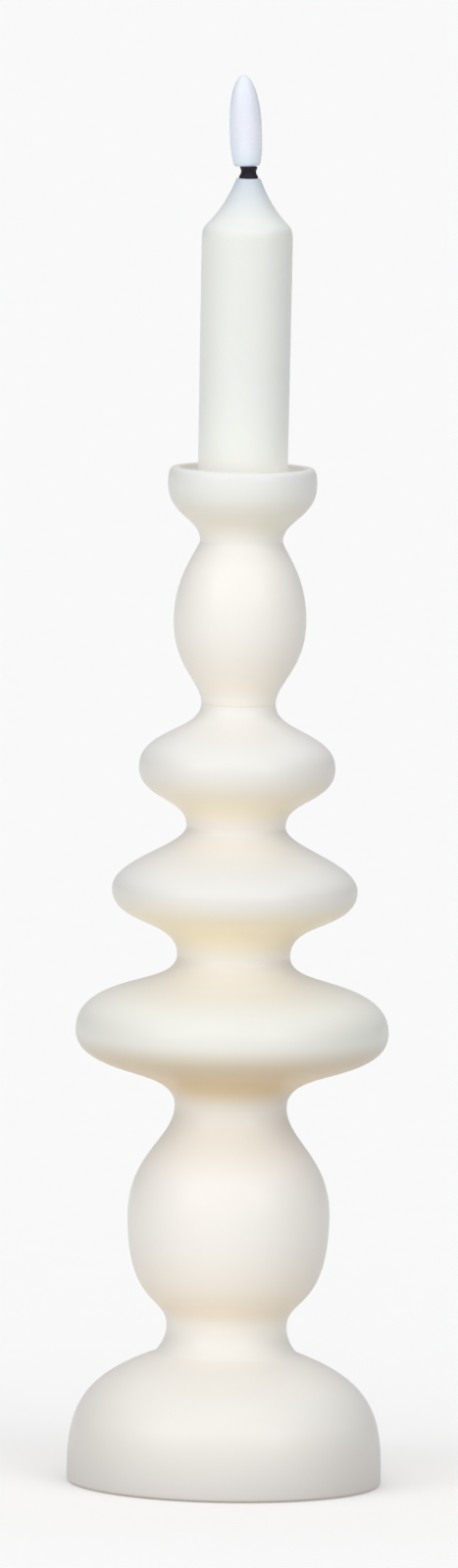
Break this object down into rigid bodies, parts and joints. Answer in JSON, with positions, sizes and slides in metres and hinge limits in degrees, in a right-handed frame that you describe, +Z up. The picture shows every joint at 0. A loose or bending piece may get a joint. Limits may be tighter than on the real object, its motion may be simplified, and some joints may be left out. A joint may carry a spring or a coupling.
{
  "type": "wooden candlestick",
  "caption": "Tall turned wooden candlestick of stacked discs and bulbs on a domed foot, with a battery taper candle standing in its cup.",
  "frame": {"origin": "middle of the felt pad's underside, on the surface that the candlestick stands on", "axes": "+Z up along the turning axis; +X to the right in the front view, and the flame leans towards -X"},
  "size_m": [0.077, 0.077, 0.3455],
  "materials": {
    "cream_lacquer": "satin",
    "beech": "matte",
    "felt": "matte",
    "wax": "satin",
    "ivory_plastic": "satin",
    "black_plastic": "satin",
    "white_plastic": "satin",
    "opal_plastic": "satin",
    "clear_resin": "gloss",
    "circuit_board": "satin",
    "cell_jacket": "satin",
    "red_cover": "satin",
    "steel": "satin"
  },
  "bodies": {
    "candlestick": {"felt_pad": "felt", "foot": "cream_lacquer", "foot_screw": "steel", "belly": "cream_lacquer", "lower_disc": "cream_lacquer", "middle_disc": "cream_lacquer", "upper_disc": "cream_lacquer", "candle_cup": "cream_lacquer", "dowel_1": "beech", "dowel_2": "beech", "dowel_3": "beech", "dowel_4": "beech"},
    "candle": {"candle_body": "wax", "wick_collar": "black_plastic", "flame_tip": "opal_plastic", "led_lamp": "clear_resin", "driver_board": "circuit_board", "battery_holder": "white_plastic", "battery_cell": "cell_jacket", "top_contact": "steel", "side_strip": "steel", "positive_lead": "red_cover"},
    "cap": {"battery_cap": "ivory_plastic", "switch_case": "black_plastic", "cap_contact": "steel", "cap_spring": "steel"},
    "knob": {"switch_knob": "white_plastic"}
  },
  "joints": [
    {"name": "candle_lift", "type": "slide", "parent": "candlestick", "child": "candle", "axis": [0, 0, 1], "range_m": [0, 0.06]},
    {"name": "cap_twist", "type": "hinge", "parent": "candle", "child": "cap", "pos_m": [0, 0, 0.24], "axis": [0, 0, 1], "range_deg": [0, 30]},
    {"name": "switch_slide", "type": "slide", "parent": "cap", "child": "knob", "axis": [1, 0, 0], "range_m": [0, 0.002]}
  ]
}
